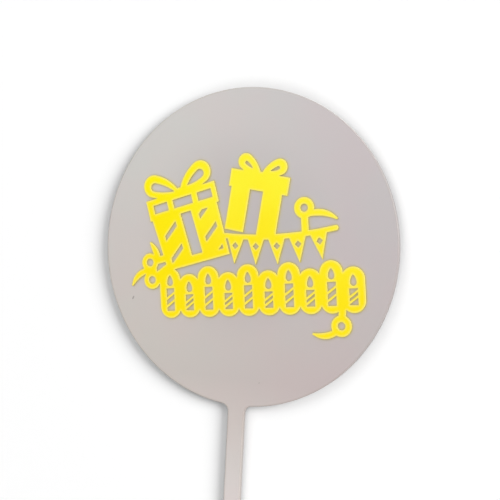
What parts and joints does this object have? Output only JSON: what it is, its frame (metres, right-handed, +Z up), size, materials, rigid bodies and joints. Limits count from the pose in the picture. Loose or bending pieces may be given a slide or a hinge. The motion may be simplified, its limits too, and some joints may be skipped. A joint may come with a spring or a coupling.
{
  "type": "cake topper",
  "caption": "Flat round cake topper on a pointed stake, with a bright cut-sheet party motif of gift boxes, bunting and candles bonded to its front.",
  "frame": {"origin": "tip of the stake, midway through the plate's thickness", "axes": "+Z up the stake through the disc's centre, front with the motif facing -Y, +X to the right seen from the front"},
  "size_m": [0.1, 0.0021, 0.158],
  "materials": {
    "plate_acrylic": "satin cast sheet, pale warm grey",
    "clear_adhesive": "thin clear transfer adhesive",
    "yellow_sheet": "smooth lemon-yellow sheet"
  },
  "bodies": {
    "root": {"plate_with_stake": "plate_acrylic", "adhesive_film": "clear_adhesive", "party_cutout": "yellow_sheet"}
  },
  "joints": []
}
